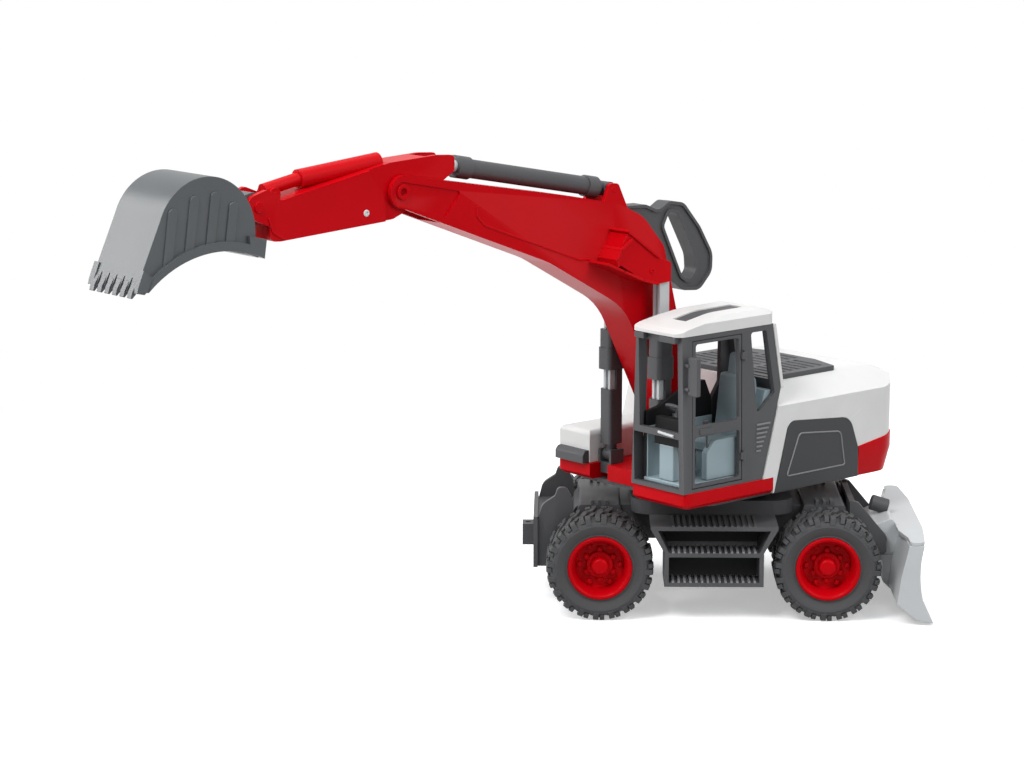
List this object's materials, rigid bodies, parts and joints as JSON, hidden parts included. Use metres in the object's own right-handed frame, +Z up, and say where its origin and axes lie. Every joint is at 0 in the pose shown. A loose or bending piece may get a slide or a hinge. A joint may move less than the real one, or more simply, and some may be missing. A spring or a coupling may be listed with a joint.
{
  "type": "toy wheeled excavator",
  "caption": "Plastic toy wheeled excavator with slewing upper half, hollow cab with opening door, jointed boom, stick and bucket, dozer blade and free-turning wheels.",
  "frame": {"origin": "on the floor under the slew axis", "axes": "+X ahead of the undercarriage, +Y to its left, +Z up"},
  "size_m": [0.5341, 0.4617, 0.335],
  "materials": {
    "tyre": "black ribbed rubber-like plastic",
    "red": "glossy red moulded plastic",
    "white": "white moulded plastic",
    "dark": "dark grey moulded plastic",
    "bucket_grey": "blue-grey moulded plastic",
    "pale": "pale blue-grey moulded plastic",
    "light": "light grey moulded plastic"
  },
  "bodies": {
    "undercarriage": {"chassis_frame": "dark", "steps_left": "dark", "steps_right": "dark", "front_carrier": "dark", "rear_carrier": "dark"},
    "blade": {"blade": "light", "blade_bracket": "pale"},
    "upper": {"turntable": "dark", "upper_frame": "red", "counterweight": "red", "hood": "white", "hood_grille": "dark", "engine_panel_left": "dark", "engine_panel_right": "dark", "tank_box": "white", "front_lamps": "dark", "boom_bracket": "red", "cylinder_foot_left": "dark", "cylinder_foot_right": "dark", "cab_frame": "dark", "cab_roof": "white", "cab_interior": "pale"},
    "door": {"door": "dark"},
    "boom": {"boom": "red", "grip_handle": "dark"},
    "stick": {"stick": "red"},
    "bucket": {"bucket": "bucket_grey"},
    "wheel_fl": {"tyre_fl": "tyre", "rim_fl": "red"},
    "wheel_fr": {"tyre_fr": "tyre", "rim_fr": "red"},
    "wheel_rl": {"tyre_rl": "tyre", "rim_rl": "red"},
    "wheel_rr": {"tyre_rr": "tyre", "rim_rr": "red"},
    "boom_barrel_left": {"boom_barrel_left": "dark"},
    "boom_rod_left": {"boom_rod_left": "light"},
    "boom_barrel_right": {"boom_barrel_right": "dark"},
    "boom_rod_right": {"boom_rod_right": "light"},
    "stick_barrel": {"stick_barrel": "dark"},
    "stick_rod": {"stick_rod": "light"}
  },
  "joints": [
    {"name": "wheel_fl_spin", "type": "hinge", "parent": "undercarriage", "child": "wheel_fl", "pos_m": [0.078, 0.0615, 0.037], "axis": [0, 1, 0], "continuous": true},
    {"name": "wheel_fr_spin", "type": "hinge", "parent": "undercarriage", "child": "wheel_fr", "pos_m": [0.078, -0.0615, 0.037], "axis": [0, 1, 0], "continuous": true},
    {"name": "wheel_rl_spin", "type": "hinge", "parent": "undercarriage", "child": "wheel_rl", "pos_m": [-0.078, 0.0615, 0.037], "axis": [0, 1, 0], "continuous": true},
    {"name": "wheel_rr_spin", "type": "hinge", "parent": "undercarriage", "child": "wheel_rr", "pos_m": [-0.078, -0.0615, 0.037], "axis": [0, 1, 0], "continuous": true},
    {"name": "blade_lift", "type": "hinge", "parent": "undercarriage", "child": "blade", "pos_m": [-0.108, 0, 0.046], "axis": [0, 1, 0], "range_deg": [0, 22]},
    {"name": "slew", "type": "hinge", "parent": "undercarriage", "child": "upper", "pos_m": [0, 0, 0], "axis": [0, 0, 1], "continuous": true},
    {"name": "door_swing", "type": "hinge", "parent": "upper", "child": "door", "pos_m": [-0.01887, 0.08313, 0.15], "axis": [0, 0, 1], "range_deg": [0, 95]},
    {"name": "boom_lift", "type": "hinge", "parent": "upper", "child": "boom", "pos_m": [0.0223, 0.00662, 0.11], "axis": [0.6691, -0.7431, 0], "range_deg": [-25, 12]},
    {"name": "stick_curl", "type": "hinge", "parent": "boom", "child": "stick", "pos_m": [0.21403, 0.17926, 0.31], "axis": [-0.6691, 0.7431, 0], "range_deg": [-4, 45]},
    {"name": "bucket_curl", "type": "hinge", "parent": "stick", "child": "bucket", "pos_m": [0.29756, 0.25447, 0.31], "axis": [-0.6691, 0.7431, 0], "range_deg": [-20, 45]},
    {"name": "boom_barrel_left_tilt", "type": "hinge", "parent": "upper", "child": "boom_barrel_left", "pos_m": [0.03712, 0.05293, 0.104], "axis": [0.6691, -0.7431, 0], "range_deg": [-25.52, 12.51]},
    {"name": "boom_rod_left_slide", "type": "slide", "parent": "boom_barrel_left", "child": "boom_rod_left", "axis": [0, 0, 1], "range_m": [-0.01886, 0.00931]},
    {"name": "boom_barrel_right_tilt", "type": "hinge", "parent": "upper", "child": "boom_barrel_right", "pos_m": [0.0699, 0.01652, 0.104], "axis": [0.6691, -0.7431, 0], "range_deg": [-25.52, 12.51]},
    {"name": "boom_rod_right_slide", "type": "slide", "parent": "boom_barrel_right", "child": "boom_rod_right", "axis": [0, 0, 1], "range_m": [-0.01886, 0.00931]},
    {"name": "stick_barrel_tilt", "type": "hinge", "parent": "boom", "child": "stick_barrel", "pos_m": [0.07729, 0.05614, 0.296], "axis": [0.6691, -0.7431, 0], "range_deg": [-1.27, 9.16]},
    {"name": "stick_rod_slide", "type": "slide", "parent": "stick_barrel", "child": "stick_rod", "axis": [0.7299, 0.6572, 0.1881], "range_m": [-0.00278, 0.02618]}
  ],
  "couplings": [
    {"joint": "boom_barrel_left_tilt", "follows": "boom_lift", "ratio": 1.001},
    {"joint": "boom_rod_left_slide", "follows": "boom_lift", "m_per_rad": 0.042082},
    {"joint": "boom_barrel_right_tilt", "follows": "boom_lift", "ratio": 1.001},
    {"joint": "boom_rod_right_slide", "follows": "boom_lift", "m_per_rad": 0.042082},
    {"joint": "stick_barrel_tilt", "follows": "stick_curl", "ratio": 0.1925},
    {"joint": "stick_rod_slide", "follows": "stick_curl", "m_per_rad": 0.0327}
  ]
}
